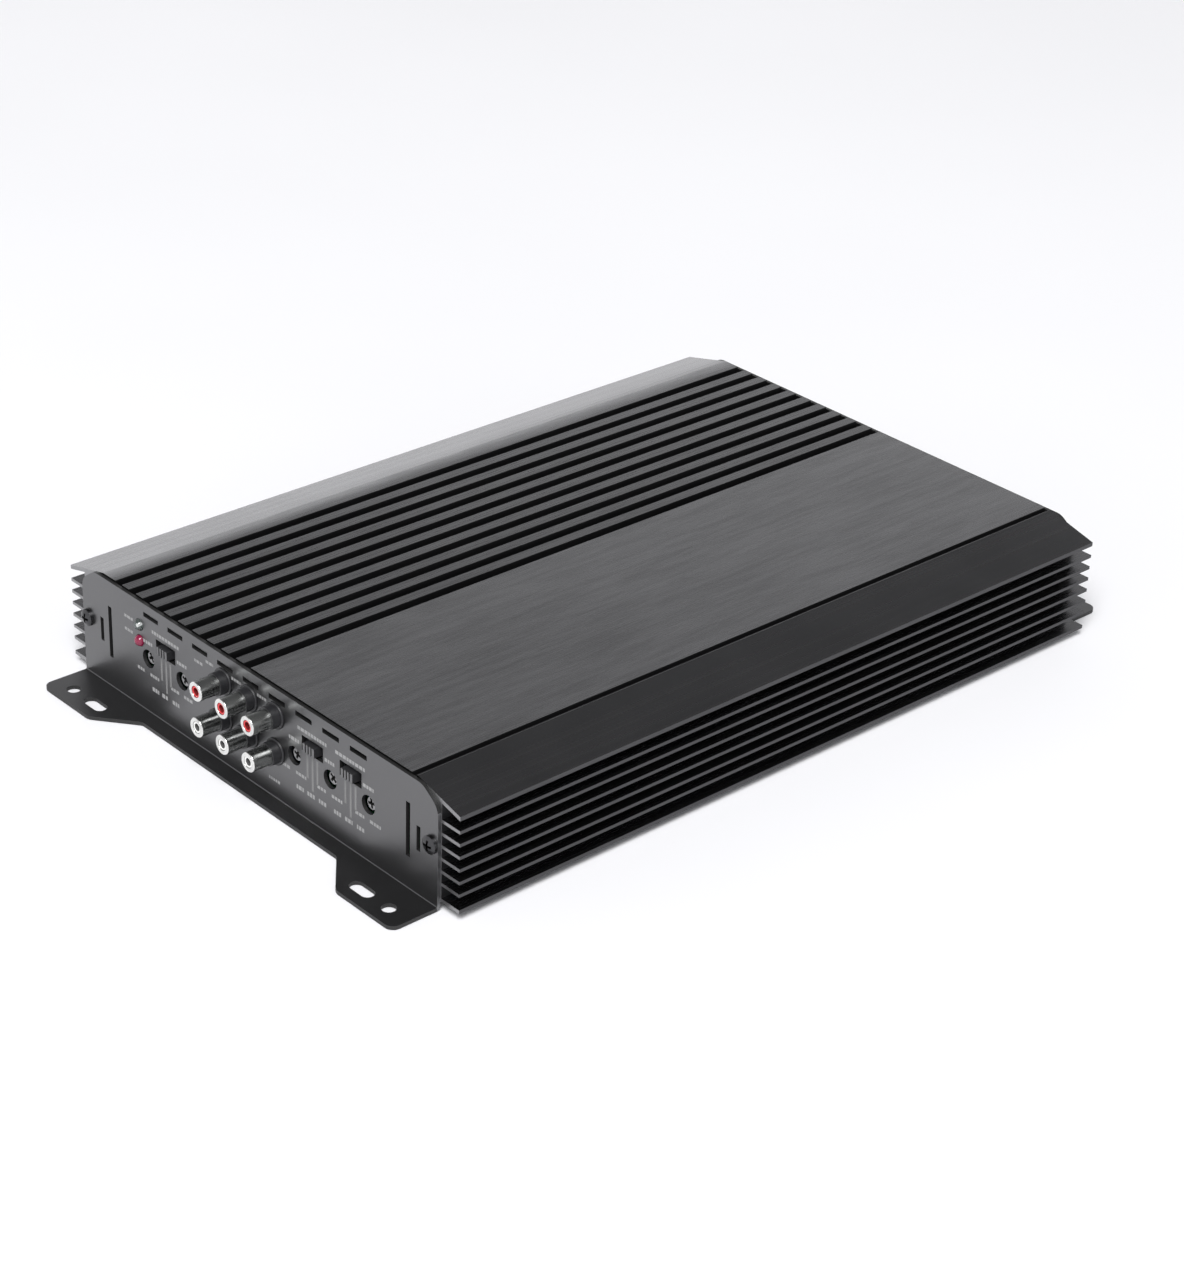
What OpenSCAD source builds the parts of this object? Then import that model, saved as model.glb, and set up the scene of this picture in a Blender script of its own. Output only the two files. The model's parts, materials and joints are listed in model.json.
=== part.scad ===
// Multi-channel car amplifier: a finned aluminium extrusion closed by two folded end plates.
// Millimetres, +Z up. The controls and inputs face -Y, the power and speaker side faces +Y.
// The origin is the middle of the underside of the mounting ears.

/* [Housing] */
// Width over the side fins
housing_w = 251.6; // [246:0.2:260]
// Length of the extrusion
housing_l = 353; // [345:1:380]
// Height from the mounting surface to the top face
overall_h = 51.6; // [51:0.2:54]
// Half width of the level top face
shoulder_x = 101.6; // [101:0.1:102]
// How far the sloped side panels fall towards their lips
slope_drop = 6.1; // [5:0.1:8]
// Thickness of the sloped lips
lip_t = 1.8; // [1.2:0.1:2.4]

/* [Top grooves] */
// Number of wide grooves on the left half
groove_count = 10; // [4:1:10]
// Distance between groove centres
groove_pitch = 9.72; // [9:0.01:9.8]
// Width of each groove
groove_w = 4.7; // [3:0.1:5.5]
// Depth of each groove
groove_depth = 4.4; // [2:0.1:4.6]
// Centre of the groove next to the plain panel
groove_first_x = -3.05; // [-5:0.05:-3]
// Width of the narrow groove beside the right slope
narrow_w = 2.9; // [1:0.1:3]
// Depth of the narrow groove
narrow_depth = 2; // [1:0.1:3]

/* [Side fins] */
// Number of thin fins on each side
fin_count = 6; // [3:1:6]
// Distance between fin centres
fin_pitch = 5.46; // [5:0.01:5.5]
// Thickness of each fin
fin_t = 1.4; // [1:0.1:2]
// Height of the centre of the highest fin
fin_top_z = 38.75; // [38:0.05:40]
// Thickness of the bottom fin and of the screw rails
rail_h = 1.6; // [1.2:0.1:3]

/* [End plates] */
// Thickness of the folded sheet
sheet_t = 1.6; // [1.2:0.1:1.6]
// Width of the end plates
plate_w = 230.5; // [229:0.5:231]
// How far the plates' top edge sits below the top face
plate_drop = 0.8; // [0:0.1:1.2]
// Width of the plates' cut-off top corners
corner_w = 9.2; // [7:0.1:11]
// Height of the plates' cut-off top corners
corner_h = 6.3; // [4:0.1:9]
// How far the narrow part of the foot stands out
foot_out = 7.2; // [6:0.1:10]
// How far the mounting ears stand out
ear_out = 21.6; // [20:0.1:26]
// Half width of the narrow part of the foot
foot_x = 64; // [50:1:66]
// Where the ear reaches its full depth
ear_x = 82; // [80:1:84]
// Number of slots in the row along the top
vent_count = 9; // [5:1:9]
// Distance between those slots
vent_pitch = 16.8; // [16:0.1:17.5]
// Length of each of those slots
vent_l = 10.2; // [6:0.1:11]
// Height of each of those slots
vent_h = 2.1; // [1.4:0.1:2.2]
// How far the slots stand right of the middle
slots_shift = 1.2; // [0:0.1:1.4]

/* [Mounting holes] */
// Distance from the plate's face to the hole centres
hole_out = 13.8; // [13:0.1:14]
// Centre of each long mounting slot
slot_x = 88; // [87:0.5:90]
// Length of each mounting slot
slot_l = 12.5; // [8:0.5:13]
// Width of each mounting slot
slot_w = 5.8; // [4.5:0.1:6]
// Centre of each round mounting hole
round_x = 104; // [103:0.5:106]
// Diameter of each round mounting hole
round_d = 6; // [4:0.1:6.4]

/* [Controls] */
// Height of the adjusters
pot_z = 26.5; // [26:0.1:27]
// Diameter of the plate's holes for the adjusters
pot_hole_d = 8; // [7:0.1:8]
// Diameter of the adjusters' shafts
pot_shaft_d = 5.2; // [4:0.1:5.4]
// Height of the slide switches
switch_z = 34.8; // [34.6:0.1:35]
// Width of a switch window
window_w = 13.2; // [13:0.1:13.6]
// Height of a switch window
window_h = 6.6; // [6.4:0.1:6.8]
// Width of a switch slider
slider_w = 7; // [6:0.1:7]
// How far a switch slider stands out of the plate
slider_out = 2; // [0:0.1:2.5]
// Travel of a switch slider
slider_travel = 5.4; // [4:0.1:5.4]

/* [Input sockets] */
// Distance between socket columns
socket_pitch = 16.8; // [16:0.1:17]
// Height of the lower row
socket_low_z = 23; // [22.6:0.1:23.4]
// Height of the upper row
socket_high_z = 39; // [38.6:0.1:39.2]
// Outside diameter of the metal shells
shell_d = 8.3; // [8:0.1:8.4]
// How far the shells stand out of the plate
shell_out = 13.5; // [10:0.1:14]
// How far the plastic collars stand out of the plate
collar_out = 4.5; // [2:0.1:6]

/* [Power side] */
// Number of power terminals
power_count = 3; // [1:1:3]
// Distance between power terminals
power_pitch = 17; // [16:0.5:18]
// Number of speaker terminals
speaker_count = 8; // [2:1:8]
// Distance between speaker terminals
speaker_pitch = 9.6; // [9.4:0.1:10]
// How far the terminal blocks stand out of the plate
block_out = 14; // [12:0.5:16]
// Distance between the two blade fuses
fuse_pitch = 11; // [10.5:0.1:12]

/* [Electronics] */
// Height of the underside of the main board
board_z = 11; // [10:0.5:11.5]
// Thickness of the boards
board_t = 1.6; // [1.2:0.1:1.6]
// Number of power transistors on each side
transistor_count = 8; // [4:2:8]
// Distance between power transistors
transistor_pitch = 24; // [22:0.5:24]
// Height of the large capacitors
cap_h = 24; // [18:0.5:24]

/* [Hidden] */
$fn = 48;
gap = 0.05;
black = "#26262a";
metal = "#c9cacc";
brass = "#c8a550";
board_green = "#2f6b46";

// Housing section
half_w = housing_w / 2;
root_x = 115.5;
wall_x = 112.5;
thick_wall_x = 107.5;
thick_wall_top = 33;
rail_z = 3.6;
chamfer = 4;
fin_root_drop = slope_drop * (half_w - root_x) / (half_w - shoulder_x);
panel_ceiling = overall_h - 4;
groove_floor_t = 2;
groove_ceiling = overall_h - groove_depth - groove_floor_t;
narrow_x = 99.55;
plate_screw_x = 111.5;
plate_screw_z = 27.6;
plate_screw_r = 1.5;
plate_bore_l = 26;
plate_hole_r = 1.9;
plate_head_r = 3.7;
plate_head_h = 2.3;
plate_screw_l = 16;

// Along the length
end_y = housing_l / 2;
face_y = end_y + sheet_t;
bend_r = 0.5;
ear_corner_r = 4;
ear_tip_r = 5;
foot_corner_r = 3;
corner_r = 8;
vent_z = overall_h - 5.5;
long_slot = [96.7, 27.35, 2.4, 23.5];
short_slot = [102.8, 26.25, 2.2, 10.7];

// Bottom cover
cover_t = 1.2;
cover_w = 226;
cover_screw_x = 111;
cover_screw_ys = [-160, -53, 53, 160];
cover_screw_r = 1.2;
cover_screw_l = 7;
board_screw_ys = [-148, 0, 148];
board_screw_x = 96;
board_screw_r = 1.45;
standoff_r = 3.2;

// Boards
board_w = 208;
board_top = board_z + board_t;
control_y = -face_y + 11.7;
control_w = 178;
control_low = 13.4;
control_high = 43.6;
header_pins = 20;
header_pitch = 2.54;
header_pin_w = 0.64;
header_w = 5;
header_base_h = 2.5;
header_h = 6;

// Controls
pot_xs = [-68.6, -45.2, 28.7, 51.1, 74.4];
pot_turns = [-30, 20, -75, 40, -10];
pot_body_w = 8.2;
pot_front_y = -face_y + 3.4;
pot_shaft_front_y = -face_y + 1.6;
pot_shaft_l = 8;
cross_arm = 2.1;
cross_w = 1.2;
cross_depth = 1.5;
switch_xs = [-56.2, 40.2, 63.7];
switch_body_w = 16.4;
switch_body_h = 7.2;
switch_front_y = -face_y + 2.2;
slider_h = 4;
slider_front_y = -face_y - slider_out;
slider_back_y = -face_y + 5.2;
slider_base_h = 5.8;
slider_base_t = 2.4;
slider_gap = 0.4;
slider_rib_w = 0.7;
slider_rib_depth = 0.5;
led_x = -74.3;
power_led_z = 39.8;
protect_led_z = 32.6;
led_r = 2.45;
led_base_y = -face_y + 7;
led_dome_y = -face_y + 0.2;
hole_gap = 0.2;

// Input sockets
socket_xs = [-socket_pitch, 0, socket_pitch];
socket_block_w = 47;
socket_block_low = 17.4;
socket_block_high = 44.8;
collar_r = 4.8;
shell_front_y = -face_y - shell_out;
shell_wall = 0.45;
shell_root_r = shell_d / 2 - 0.2;
shell_rim_r = 2.45;
shell_rim_t = 0.8;
shell_seat_y = -face_y + 2;
collar_front_y = -face_y - collar_out;
socket_hole_r = 1.6;
contact_bore_r = 1.25;

// Power side
block_back_y = 160;
block_front_y = face_y + block_out;
power_x = -68;
power_block_h = 22;
power_clamp = 9;
power_entry = 6.4;
power_entry_z = 21;
power_screw_r = 2.2;
power_head_r = 3.4;
power_head_h = 4;
speaker_x = 55;
speaker_block_h = 17;
speaker_clamp = 7;
speaker_entry = 4.9;
speaker_entry_z = 18.6;
speaker_screw_r = 1.5;
speaker_head_r = 2.3;
speaker_head_h = 3;
block_wall = 1.5;
cutout_gap = 0.3;
clamp_l = 14;
terminal_screw_back = 7;
driver_slot_w = 0.8;
fuse_x = -14;
fuse_z = 25;
fuse_w = 19.1;
fuse_t = 5;
fuse_l = 14.5;
fuse_back_y = 173.8;
fuse_holder_front_y = face_y + 1.5;
fuse_holder_w = 24;
fuse_holder_high = 37.4;
blade_l = 9;
blade_w = 5.2;
blade_t = 0.7;
blade_offset = 6.2;
fuse_corner_r = 1.2;
fuse_clearance = 0.3;
blade_slot_w = 3.2;
clip_leaf_t = 0.5;
clip_gap = 0.2;
grip_t = 0.6;

// Electronics
tab_t = 1.3;
pad_t = 0.3;
case_t = 3.2;
bar_t = 2;
bar_h = 6;
bar_z = 20;
clamp_screw_r = 1.4;
clamp_screw_l = 11;
clamp_screw_count = 4;
clamp_bore_l = 6.5;
bar_x = thick_wall_x - pad_t - tab_t - case_t - bar_t;
case_w = 10;
case_h = 9.2;
case_z = 15.4;
tab_h = 15.8;
tab_hole_z = 12.6;
tab_hole_r = 1.8;
lead_pitch = 2.54;
lead_w = 0.8;
lead_t = 0.5;
lead_bend = 1.6;
pad_h = 17;
core_xs = [-42, 34];
core_y = 88;
core_z = 24;
core_r = 20;
core_bore_r = 10;
core_h = 16;
core_wire = 2.4;
choke_x = 80;
choke_y = 128;
choke_z = 22;
choke_r = 13.5;
choke_bore_r = 7.5;
choke_h = 12;
choke_wire = 2;
input_cap_r = 8;
rail_cap_r = 9;
signal_cap_r = 3.15;
signal_cap_h = 11;
chip_size = [19, 6.4, 3.4];
chip_pins = 7;
chip_pin_pitch = 2.54;
resistor_size = [9, 18, 8];

// Rows of parts on the main board: how many, the first one's X, the step along X, and the row's Y.
input_cap_row = [4, -84, 19, 138];
rail_cap_row = [6, -55, 22, 30];
signal_cap_rows = [[9, -80, 20, -120], [9, -80, 20, -74]];
chip_row = [4, -60, 40, -97];
resistor_row = [8, -77, 22, -20];

// Rounded outlines: each corner of a polygon becomes an arc of its own radius.
function unit(v) = v / norm(v);
function corner_arc(before, corner, after, r, steps = 8) =
    let (
        u = unit(before - corner),
        v = unit(after - corner),
        half = acos(u * v) / 2,
        centre = corner + unit(u + v) * r / sin(half),
        start = corner + u * r / tan(half) - centre,
        end = corner + v * r / tan(half) - centre,
        a0 = atan2(start.y, start.x),
        turn = (atan2(end.y, end.x) - a0 + 540) % 360 - 180
    )
    [for (i = [0 : steps]) centre + r * [cos(a0 + turn * i / steps), sin(a0 + turn * i / steps)]];
function rounded(points, radii) =
    let (n = len(points))
    [for (i = [0 : n - 1])
        each (radii[i] > 0
            ? corner_arc(points[(i + n - 1) % n], points[i], points[(i + 1) % n], radii[i])
            : [points[i]])];

// Extrudes an outline drawn in X and Z along Y, from y0 to y1.
module along_y(y0, y1) {
    translate([0, y1, 0])
        rotate([90, 0, 0])
            linear_extrude(y1 - y0)
                children();
}

module rod_y(r, y0, y1) {
    translate([0, y1, 0])
        rotate([90, 0, 0])
            cylinder(r = r, h = y1 - y0);
}

module both_sides() {
    children();
    mirror([1, 0, 0])
        children();
}

function header_pin_x(i) = (i - (header_pins - 1) / 2) * header_pitch;

module box(low, high) {
    translate(low)
        cube(high - low);
}

// A slot with round ends, length l along X, centred on the origin.
module slot_shape(l, w) {
    square([l - w, w], center = true);
    for (side = [-1, 1])
        translate([side * (l - w) / 2, 0])
            circle(d = w);
}

// A cross-head screw whose head sits on z = 0 and whose shaft points down.
module pan_screw(head_r, head_h, shaft_r, shaft_l) {
    cross_w = head_r * 0.28;
    cross_l = head_r * 1.2;
    difference() {
        union() {
            cylinder(r = head_r, h = head_h * 0.55);
            intersection() {
                cylinder(r = head_r, h = head_h);
                translate([0, 0, head_h - head_r * 2])
                    sphere(r = head_r * 2);
            }
            translate([0, 0, -shaft_l])
                cylinder(r = shaft_r, h = shaft_l + 0.1);
        }
        for (turn = [0, 90])
            rotate(turn)
                translate([-cross_l / 2, -cross_w / 2, head_h * 0.35])
                    cube([cross_l, cross_w, head_h]);
    }
}

// ---- Extrusion and cover ----

// Right half of the section, from the middle of the top, round the fins, to the middle of the ceiling.
function half_outline(ceiling) = [
    [0, overall_h], [shoulder_x, overall_h],
    [half_w, overall_h - slope_drop], [half_w, overall_h - slope_drop - lip_t],
    [root_x, overall_h - slope_drop - lip_t + fin_root_drop],
    for (i = [0 : fin_count - 1])
        let (z = fin_top_z - i * fin_pitch)
            each [
                [root_x, z + fin_t / 2], [half_w, z + fin_t / 2],
                [half_w, z - fin_t / 2], [root_x, z - fin_t / 2]
            ],
    [root_x, rail_z + rail_h], [half_w, rail_z + rail_h], [half_w, rail_z],
    [thick_wall_x, rail_z], [thick_wall_x, thick_wall_top],
    [wall_x, thick_wall_top + chamfer], [wall_x, ceiling - chamfer / 2],
    [wall_x - chamfer / 2, ceiling], [0, ceiling]
];

function mirrored(points) = [for (i = [len(points) - 1 : -1 : 0]) [-points[i].x, points[i].y]];

module housing_section() {
    difference() {
        polygon(concat(half_outline(panel_ceiling), mirrored(half_outline(groove_ceiling))));
        for (i = [0 : groove_count - 1])
            translate([groove_first_x - i * groove_pitch - groove_w / 2, overall_h - groove_depth])
                square([groove_w, groove_depth + 1]);
        translate([narrow_x - narrow_w / 2, overall_h - narrow_depth])
            square([narrow_w, narrow_depth + 1]);
    }
}

module heatsink_housing() {
    color("#3a3a3e")
        difference() {
            along_y(-end_y, end_y)
                housing_section();
            both_sides()
                for (end = [-1, 1])
                    translate([plate_screw_x, end * (end_y - plate_bore_l / 2), plate_screw_z])
                        rod_y(plate_screw_r, -plate_bore_l / 2 - 1, plate_bore_l / 2 + 1);
            both_sides()
                for (y = cover_screw_ys)
                    translate([cover_screw_x, y, rail_z - 1])
                        cylinder(r = cover_screw_r + gap, h = cover_screw_l + 2);
            both_sides()
                for (i = [0 : clamp_screw_count - 1])
                    translate([thick_wall_x - 1, clamp_screw_y(i), bar_z])
                        rotate([0, 90, 0])
                            cylinder(r = clamp_screw_r + gap, h = clamp_bore_l);
        }
}

module bottom_cover() {
    color("#303034")
        difference() {
            box([-cover_w / 2, -end_y, rail_z - cover_t], [cover_w / 2, end_y, rail_z]);
            both_sides()
                for (y = cover_screw_ys)
                    translate([cover_screw_x, y, 0])
                        cylinder(r = cover_screw_r + 0.3, h = rail_z + 1);
        }
}

module bottom_cover_screws() {
    color(metal)
        both_sides()
            for (y = cover_screw_ys)
                translate([cover_screw_x, y, rail_z - cover_t])
                    rotate([180, 0, 0])
                        pan_screw(2.6, 1.6, cover_screw_r, cover_screw_l);
}

// ---- Folded end plates ----

module plate_outline() {
    edge = plate_w / 2;
    top = overall_h - plate_drop;
    polygon(rounded(
        [
            [-edge, 0], [edge, 0], [edge, top - corner_h],
            [edge - corner_w, top], [corner_w - edge, top], [-edge, top - corner_h]
        ],
        [0, 0, corner_r, corner_r, corner_r, corner_r]));
}

module foot_outline() {
    edge = plate_w / 2;
    polygon(rounded(
        [
            [edge, sheet_t / 2], [-edge, sheet_t / 2],
            [-edge, -ear_out], [-ear_x, -ear_out], [-foot_x, -foot_out],
            [foot_x, -foot_out], [ear_x, -ear_out], [edge, -ear_out]
        ],
        [0, 0, ear_corner_r, ear_tip_r, foot_corner_r, foot_corner_r, ear_tip_r, ear_corner_r]));
}

module bend_section() {
    difference() {
        translate([-bend_r, 0])
            square([bend_r, bend_r]);
        translate([-bend_r, bend_r])
            circle(r = bend_r);
    }
}

// The fold's round outside, which is cut off the square corner under the plate.
module bend_waste() {
    outer_r = bend_r + sheet_t;
    difference() {
        translate([-outer_r, -1])
            square([outer_r + 1, outer_r + 1]);
        translate([-outer_r, outer_r])
            circle(r = outer_r);
        translate([-outer_r - 1, outer_r])
            square([outer_r + 1, 2]);
    }
}

module across_x(l) {
    rotate([90, 0, 90])
        linear_extrude(l, center = true)
            children();
}

// A plate at the -Y end. The children are its cut-outs, drawn in X and Z.
module folded_plate() {
    difference() {
        union() {
            along_y(-face_y, -end_y)
                difference() {
                    plate_outline();
                    children();
                }
            difference() {
                translate([0, -face_y, 0])
                    linear_extrude(sheet_t)
                        foot_outline();
                for (side = [-1, 1]) {
                    translate([side * slot_x, -face_y - hole_out, -1])
                        linear_extrude(sheet_t + 2)
                            slot_shape(slot_l, slot_w);
                    translate([side * round_x, -face_y - hole_out, -1])
                        cylinder(d = round_d, h = sheet_t + 2);
                }
            }
            translate([0, -face_y, sheet_t])
                across_x(plate_w)
                    bend_section();
        }
        translate([0, -end_y, 0])
            across_x(plate_w + 2)
                bend_waste();
    }
}

module shared_cutouts() {
    translate([slots_shift, 0]) {
        for (i = [0 : vent_count - 1])
            translate([(i - (vent_count - 1) / 2) * vent_pitch, vent_z])
                square([vent_l, vent_h], center = true);
        for (side = [-1, 1])
            for (slot = [long_slot, short_slot])
                translate([side * slot[0], slot[1]])
                    square([slot[2], slot[3]], center = true);
    }
    for (side = [-1, 1])
        translate([side * plate_screw_x, plate_screw_z])
            circle(r = plate_hole_r);
}

module front_cutouts() {
    shared_cutouts();
    for (x = pot_xs)
        translate([x, pot_z])
            circle(d = pot_hole_d);
    for (x = switch_xs)
        translate([x, switch_z])
            square([window_w, window_h], center = true);
    for (z = [power_led_z, protect_led_z])
        translate([led_x, z])
            circle(r = led_r + hole_gap);
    for (x = socket_xs)
        for (z = [socket_low_z, socket_high_z])
            translate([x, z])
                circle(r = collar_r + hole_gap);
}

module block_cutout(x, count, pitch, height) {
    w = count * pitch + 2 * block_wall + 2 * cutout_gap;
    translate([x - w / 2, board_top - cutout_gap])
        square([w, height + 2 * cutout_gap]);
}

module rear_cutouts() {
    shared_cutouts();
    block_cutout(power_x, power_count, power_pitch, power_block_h);
    block_cutout(speaker_x, speaker_count, speaker_pitch, speaker_block_h);
    translate([fuse_x - fuse_holder_w / 2 - cutout_gap, board_top - cutout_gap])
        square([fuse_holder_w + 2 * cutout_gap, fuse_holder_high - board_top + 2 * cutout_gap]);
}

module front_end_plate() {
    color(black)
        folded_plate()
            front_cutouts();
}

module rear_end_plate() {
    color(black)
        mirror([0, 1, 0])
            folded_plate()
                rear_cutouts();
}

module plate_screw_pair() {
    for (side = [-1, 1])
        translate([side * plate_screw_x, -face_y, plate_screw_z])
            rotate([90, 0, 0])
                pan_screw(plate_head_r, plate_head_h, plate_screw_r - gap, plate_screw_l);
}

module front_plate_screws() {
    color("#4a4a4e")
        plate_screw_pair();
}

module rear_plate_screws() {
    color("#4a4a4e")
        mirror([0, 1, 0])
            plate_screw_pair();
}

// ---- Boards ----

module main_board() {
    color(board_green)
        difference() {
            box([-board_w / 2, -end_y + 4, board_z], [board_w / 2, end_y - 5, board_top]);
            both_sides()
                for (y = board_screw_ys)
                    translate([board_screw_x, y, board_z - 1])
                        cylinder(r = board_screw_r + 0.25, h = board_t + 2);
        }
}

module board_standoffs() {
    color(brass)
        both_sides()
            for (y = board_screw_ys)
                translate([board_screw_x, y, rail_z])
                    difference() {
                        cylinder(r = standoff_r, h = board_z - rail_z, $fn = 6);
                        translate([0, 0, 1])
                            cylinder(r = board_screw_r + gap, h = board_z);
                    }
}

module board_screws() {
    color(metal)
        both_sides()
            for (y = board_screw_ys)
                translate([board_screw_x, y, board_top])
                    pan_screw(2.7, 1.8, board_screw_r, 6);
}

module control_board() {
    color(board_green)
        box([-control_w / 2, control_y, control_low], [control_w / 2, control_y + board_t, control_high]);
}

// An angled pin header that carries the control board's signals down to the main board.
module board_header() {
    base_l = (header_pins + 0.5) * header_pitch;
    pin = header_pin_w;
    translate([0, control_y + board_t, board_top]) {
        color(black)
            difference() {
                box([-base_l / 2, 0, 0], [base_l / 2, header_w, header_base_h]);
                for (i = [0 : header_pins - 1])
                    translate([header_pin_x(i), header_w / 2, 0])
                        cube([pin + 2 * gap, pin + 2 * gap, 3 * header_base_h], center = true);
            }
        color(metal)
            for (i = [0 : header_pins - 1])
                translate([header_pin_x(i) - pin / 2, 0, 0]) {
                    box([0, (header_w - pin) / 2, 0], [pin, (header_w + pin) / 2, header_h]);
                    box([0, 0, header_h - pin], [pin, header_w / 2, header_h]);
                }
    }
}

// ---- Input sockets ----

module input_socket_block() {
    color(black)
        difference() {
            union() {
                along_y(-end_y + 0.2, control_y)
                    translate([-socket_block_w / 2, socket_block_low])
                        square([socket_block_w, socket_block_high - socket_block_low]);
                for (x = socket_xs)
                    for (z = [socket_low_z, socket_high_z])
                        translate([x, 0, z])
                            rod_y(collar_r, collar_front_y, -end_y + 1);
            }
            for (x = socket_xs)
                for (z = [socket_low_z, socket_high_z])
                    translate([x, 0, z])
                        rod_y(shell_root_r + gap, collar_front_y - 1, shell_seat_y);
        }
}

module at_sockets(rows) {
    for (x = socket_xs)
        for (z = rows)
            translate([x, 0, z])
                children();
}

// A drawn tube whose front edge is rolled in over the insulator. Its narrower root sits in the collar.
module input_socket_shells() {
    color(metal)
        at_sockets([socket_low_z, socket_high_z])
            difference() {
                union() {
                    rod_y(shell_d / 2, shell_front_y, collar_front_y);
                    rod_y(shell_root_r, shell_front_y + 1, shell_seat_y);
                }
                rod_y(shell_d / 2 - shell_wall, shell_front_y + shell_rim_t, shell_seat_y + 1);
                rod_y(shell_rim_r, shell_front_y - 1, shell_seat_y);
            }
}

module socket_insulator() {
    difference() {
        union() {
            rod_y(shell_d / 2 - shell_wall - gap, shell_front_y + shell_rim_t + gap, shell_seat_y);
            rod_y(shell_rim_r - gap, shell_front_y + 0.3, shell_seat_y);
        }
        rod_y(socket_hole_r, shell_front_y - 1, shell_seat_y - 2);
    }
}

module input_insulators_red() {
    color("#c8171c")
        at_sockets([socket_high_z])
            socket_insulator();
}

module input_insulators_white() {
    color("#ecebe8")
        at_sockets([socket_low_z])
            socket_insulator();
}

module input_contacts() {
    color(brass)
        at_sockets([socket_low_z, socket_high_z])
            difference() {
                rod_y(socket_hole_r - gap, shell_front_y + 3, shell_seat_y - 2);
                rod_y(contact_bore_r, shell_front_y, shell_seat_y - 4);
            }
}

// ---- Adjusters, switches and lamps ----

module adjuster_bodies() {
    color("#1f3f66")
        for (x = pot_xs)
            translate([x, 0, pot_z])
                difference() {
                    along_y(pot_front_y, control_y)
                        square([pot_body_w, pot_body_w], center = true);
                    rod_y(pot_shaft_d / 2 + gap, pot_front_y - 1, pot_shaft_front_y + pot_shaft_l + 0.3);
                }
}

module adjuster_shaft(index) {
    color("#b9b9bb")
        translate([pot_xs[index], 0, pot_z])
            rotate([0, pot_turns[index], 0])
                difference() {
                    rod_y(pot_shaft_d / 2, pot_shaft_front_y, pot_shaft_front_y + pot_shaft_l);
                    for (turn = [0, 90])
                        rotate([0, turn, 0])
                            box(
                                [-cross_arm, pot_shaft_front_y - 1, -cross_w / 2],
                                [cross_arm, pot_shaft_front_y + cross_depth, cross_w / 2]);
                }
}

module switch_housings() {
    pocket_w = slider_w + slider_travel + 2 * slider_gap;
    pocket_h = slider_base_h + slider_gap;
    color(black)
        for (x = switch_xs)
            translate([x, 0, switch_z])
                difference() {
                    along_y(switch_front_y, control_y)
                        square([switch_body_w, switch_body_h], center = true);
                    along_y(switch_front_y - 1, slider_back_y + slider_gap)
                        square([pocket_w, pocket_h], center = true);
                }
}

// A ribbed knob on a wider base that runs in the housing's pocket, shown in the middle position.
module switch_slider(index) {
    color("#3c3c40")
        translate([switch_xs[index], 0, switch_z])
            difference() {
                union() {
                    along_y(slider_front_y, slider_back_y)
                        square([slider_w, slider_h], center = true);
                    along_y(slider_back_y - slider_base_t, slider_back_y)
                        square([slider_w, slider_base_h], center = true);
                }
                for (i = [-1 : 1])
                    translate([i * slider_w / 4, 0])
                        box(
                            [-slider_rib_w / 2, slider_front_y - 1, -slider_h],
                            [slider_rib_w / 2, slider_front_y + slider_rib_depth, slider_h]);
            }
}

module lamp(z) {
    translate([led_x, 0, z]) {
        rod_y(led_r, led_dome_y, led_base_y);
        translate([0, led_dome_y, 0])
            sphere(r = led_r);
    }
}

module power_led() {
    color("#dfe4e6")
        lamp(power_led_z);
}

module protect_led() {
    color("#d21b3a")
        lamp(protect_led_z);
}

module led_spacers() {
    color(black)
        for (z = [power_led_z, protect_led_z])
            translate([led_x, 0, z])
                rod_y(led_r, led_base_y, control_y);
}

// ---- Power side ----

// A row of boxed screw clamps. The wire enters along -Y and the screw presses down on it.
module terminal_block(x, count, pitch, height, clamp, entry_z, screw_head_r) {
    w = count * pitch + 2 * block_wall;
    difference() {
        box([x - w / 2, block_back_y, board_top], [x + w / 2, block_front_y, board_top + height]);
        for (i = [0 : count - 1])
            translate([x + (i - (count - 1) / 2) * pitch, 0, 0]) {
                box(
                    [-clamp / 2 - gap, block_front_y - clamp_l - 1, entry_z - clamp / 2 - gap],
                    [clamp / 2 + gap, block_front_y + 1, entry_z + clamp / 2 + gap]);
                translate([0, block_front_y - terminal_screw_back, entry_z])
                    cylinder(r = screw_head_r + hole_gap, h = height + board_top);
            }
    }
}

module terminal_clamps(x, count, pitch, clamp, entry, entry_z, screw_r) {
    for (i = [0 : count - 1])
        translate([x + (i - (count - 1) / 2) * pitch, 0, entry_z])
            difference() {
                along_y(block_front_y - clamp_l - 1, block_front_y - 1)
                    square([clamp, clamp], center = true);
                along_y(block_front_y - clamp_l, block_front_y)
                    square([entry, entry], center = true);
                translate([0, block_front_y - terminal_screw_back, 0])
                    cylinder(r = screw_r + gap, h = clamp);
            }
}

module terminal_screws(x, count, pitch, clamp, entry, entry_z, screw_r, head_r, head_h) {
    head_z = entry_z + clamp / 2 + 1;
    for (i = [0 : count - 1])
        translate([x + (i - (count - 1) / 2) * pitch, block_front_y - terminal_screw_back, head_z])
            difference() {
                union() {
                    cylinder(r = head_r, h = head_h);
                    translate([0, 0, entry_z + entry / 2 + 0.2 - head_z])
                        cylinder(r = screw_r, h = head_z - entry_z - entry / 2 + 0.3);
                }
                translate([0, 0, head_h])
                    cube([head_r * 4, driver_slot_w, head_h], center = true);
            }
}

module power_terminal_block() {
    color(black)
        terminal_block(
            power_x, power_count, power_pitch, power_block_h, power_clamp, power_entry_z, power_head_r);
}

module power_terminal_clamps() {
    color(brass)
        terminal_clamps(
            power_x, power_count, power_pitch, power_clamp, power_entry, power_entry_z, power_screw_r);
}

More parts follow.
